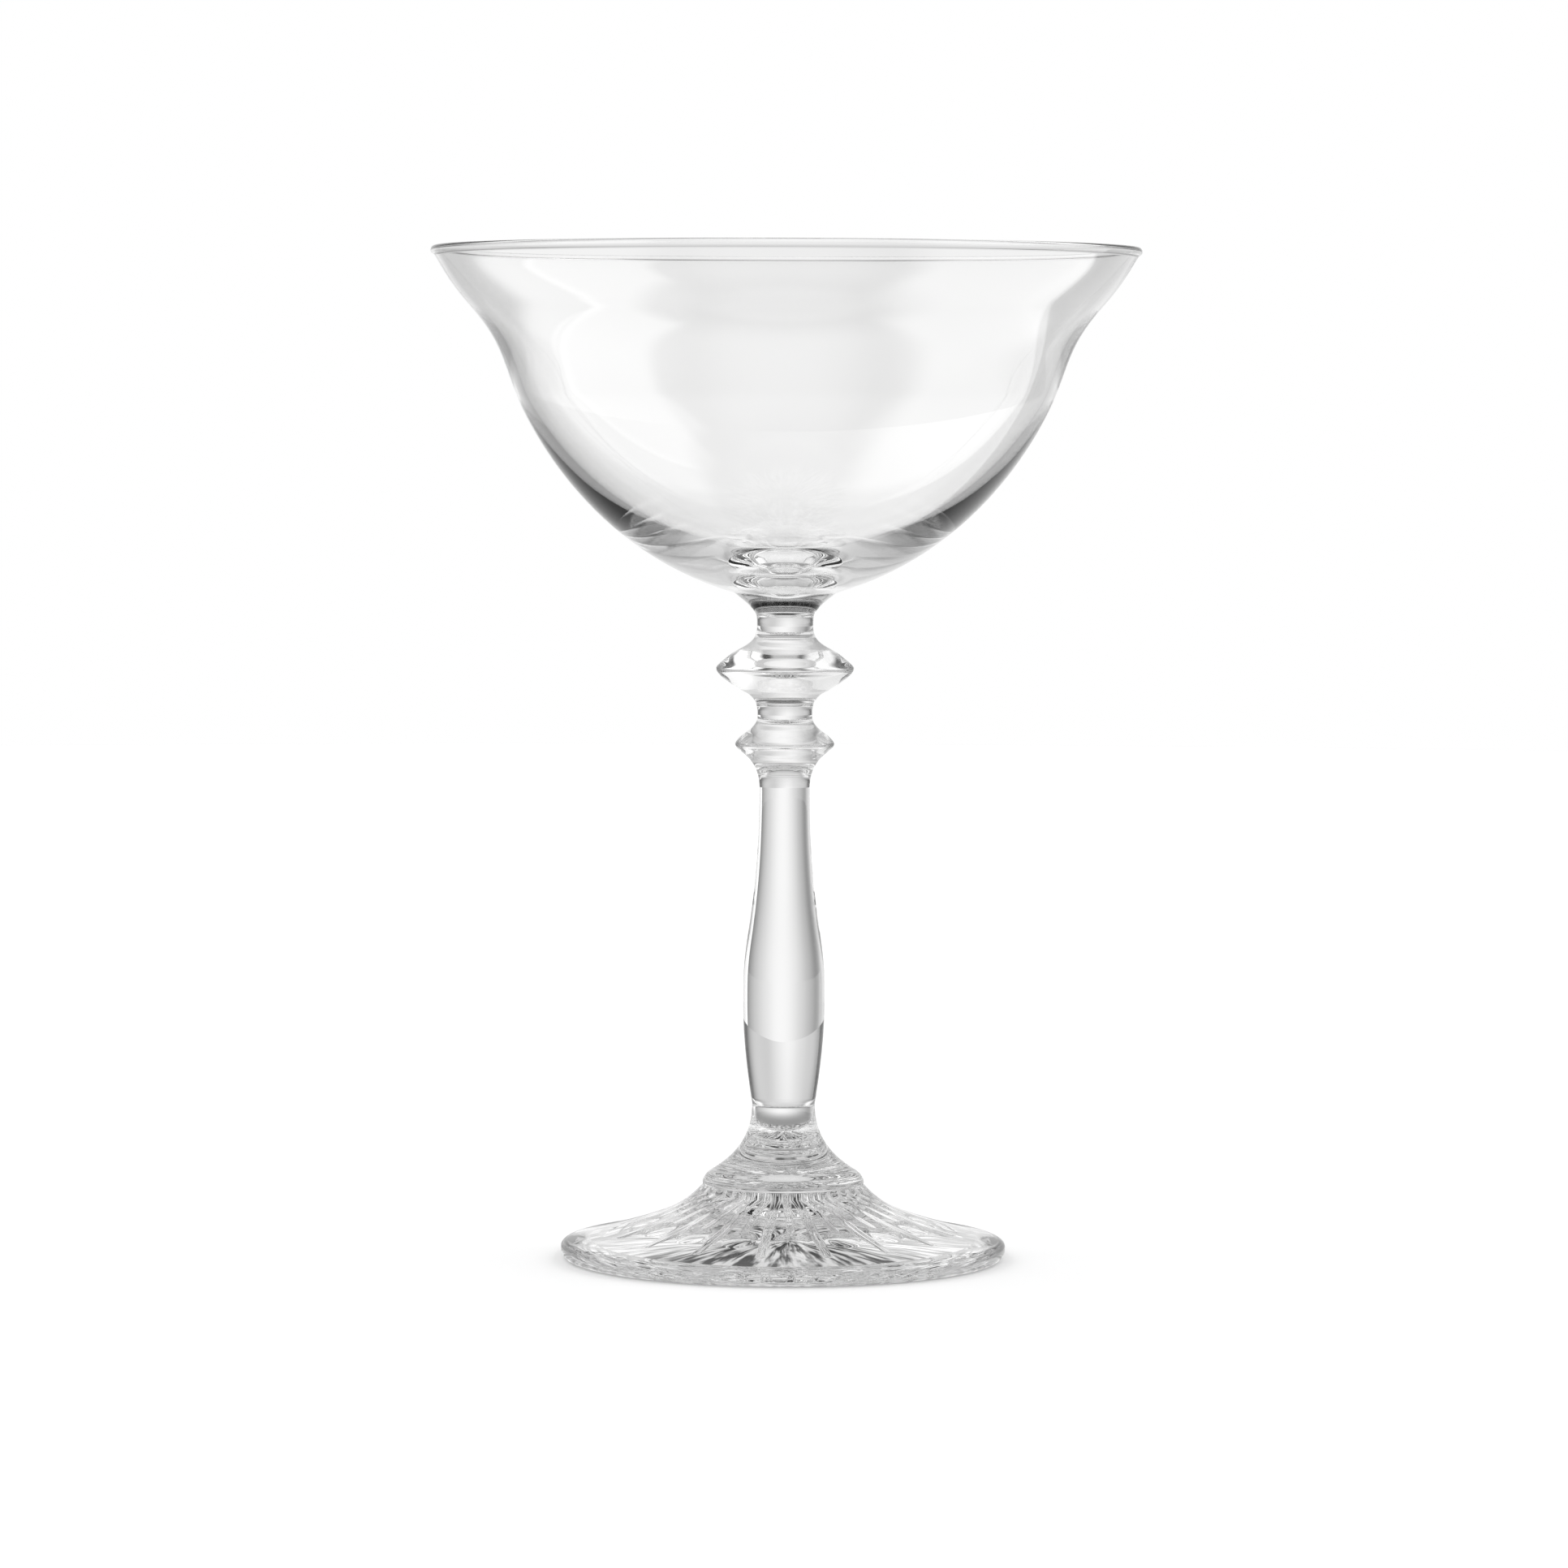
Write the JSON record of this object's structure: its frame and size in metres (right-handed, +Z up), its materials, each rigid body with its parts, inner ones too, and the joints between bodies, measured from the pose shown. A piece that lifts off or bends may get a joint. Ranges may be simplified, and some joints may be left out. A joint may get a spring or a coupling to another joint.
{
  "type": "coupe glass",
  "caption": "Coupe glass: a wide flared bowl on a knopped baluster stem with a round ribbed foot, for serving cocktails or sparkling wine.",
  "frame": {"origin": "centre of the foot's underside, on the plane that the glass rests on", "axes": "+Z up along the axis of the glass, from the foot to the rim; the glass is round, so X and Y are any level pair"},
  "size_m": [0.11, 0.11, 0.1573],
  "materials": {
    "bowl_glass": "clear, fire-polished",
    "stem_glass": "clear, fire-polished",
    "foot_glass": "clear, pressed"
  },
  "bodies": {
    "root": {"bowl": "bowl_glass", "bowl_merese": "stem_glass", "upper_knop": "stem_glass", "lower_knop": "stem_glass", "baluster": "stem_glass", "foot_collar": "stem_glass", "foot": "foot_glass"}
  },
  "joints": []
}
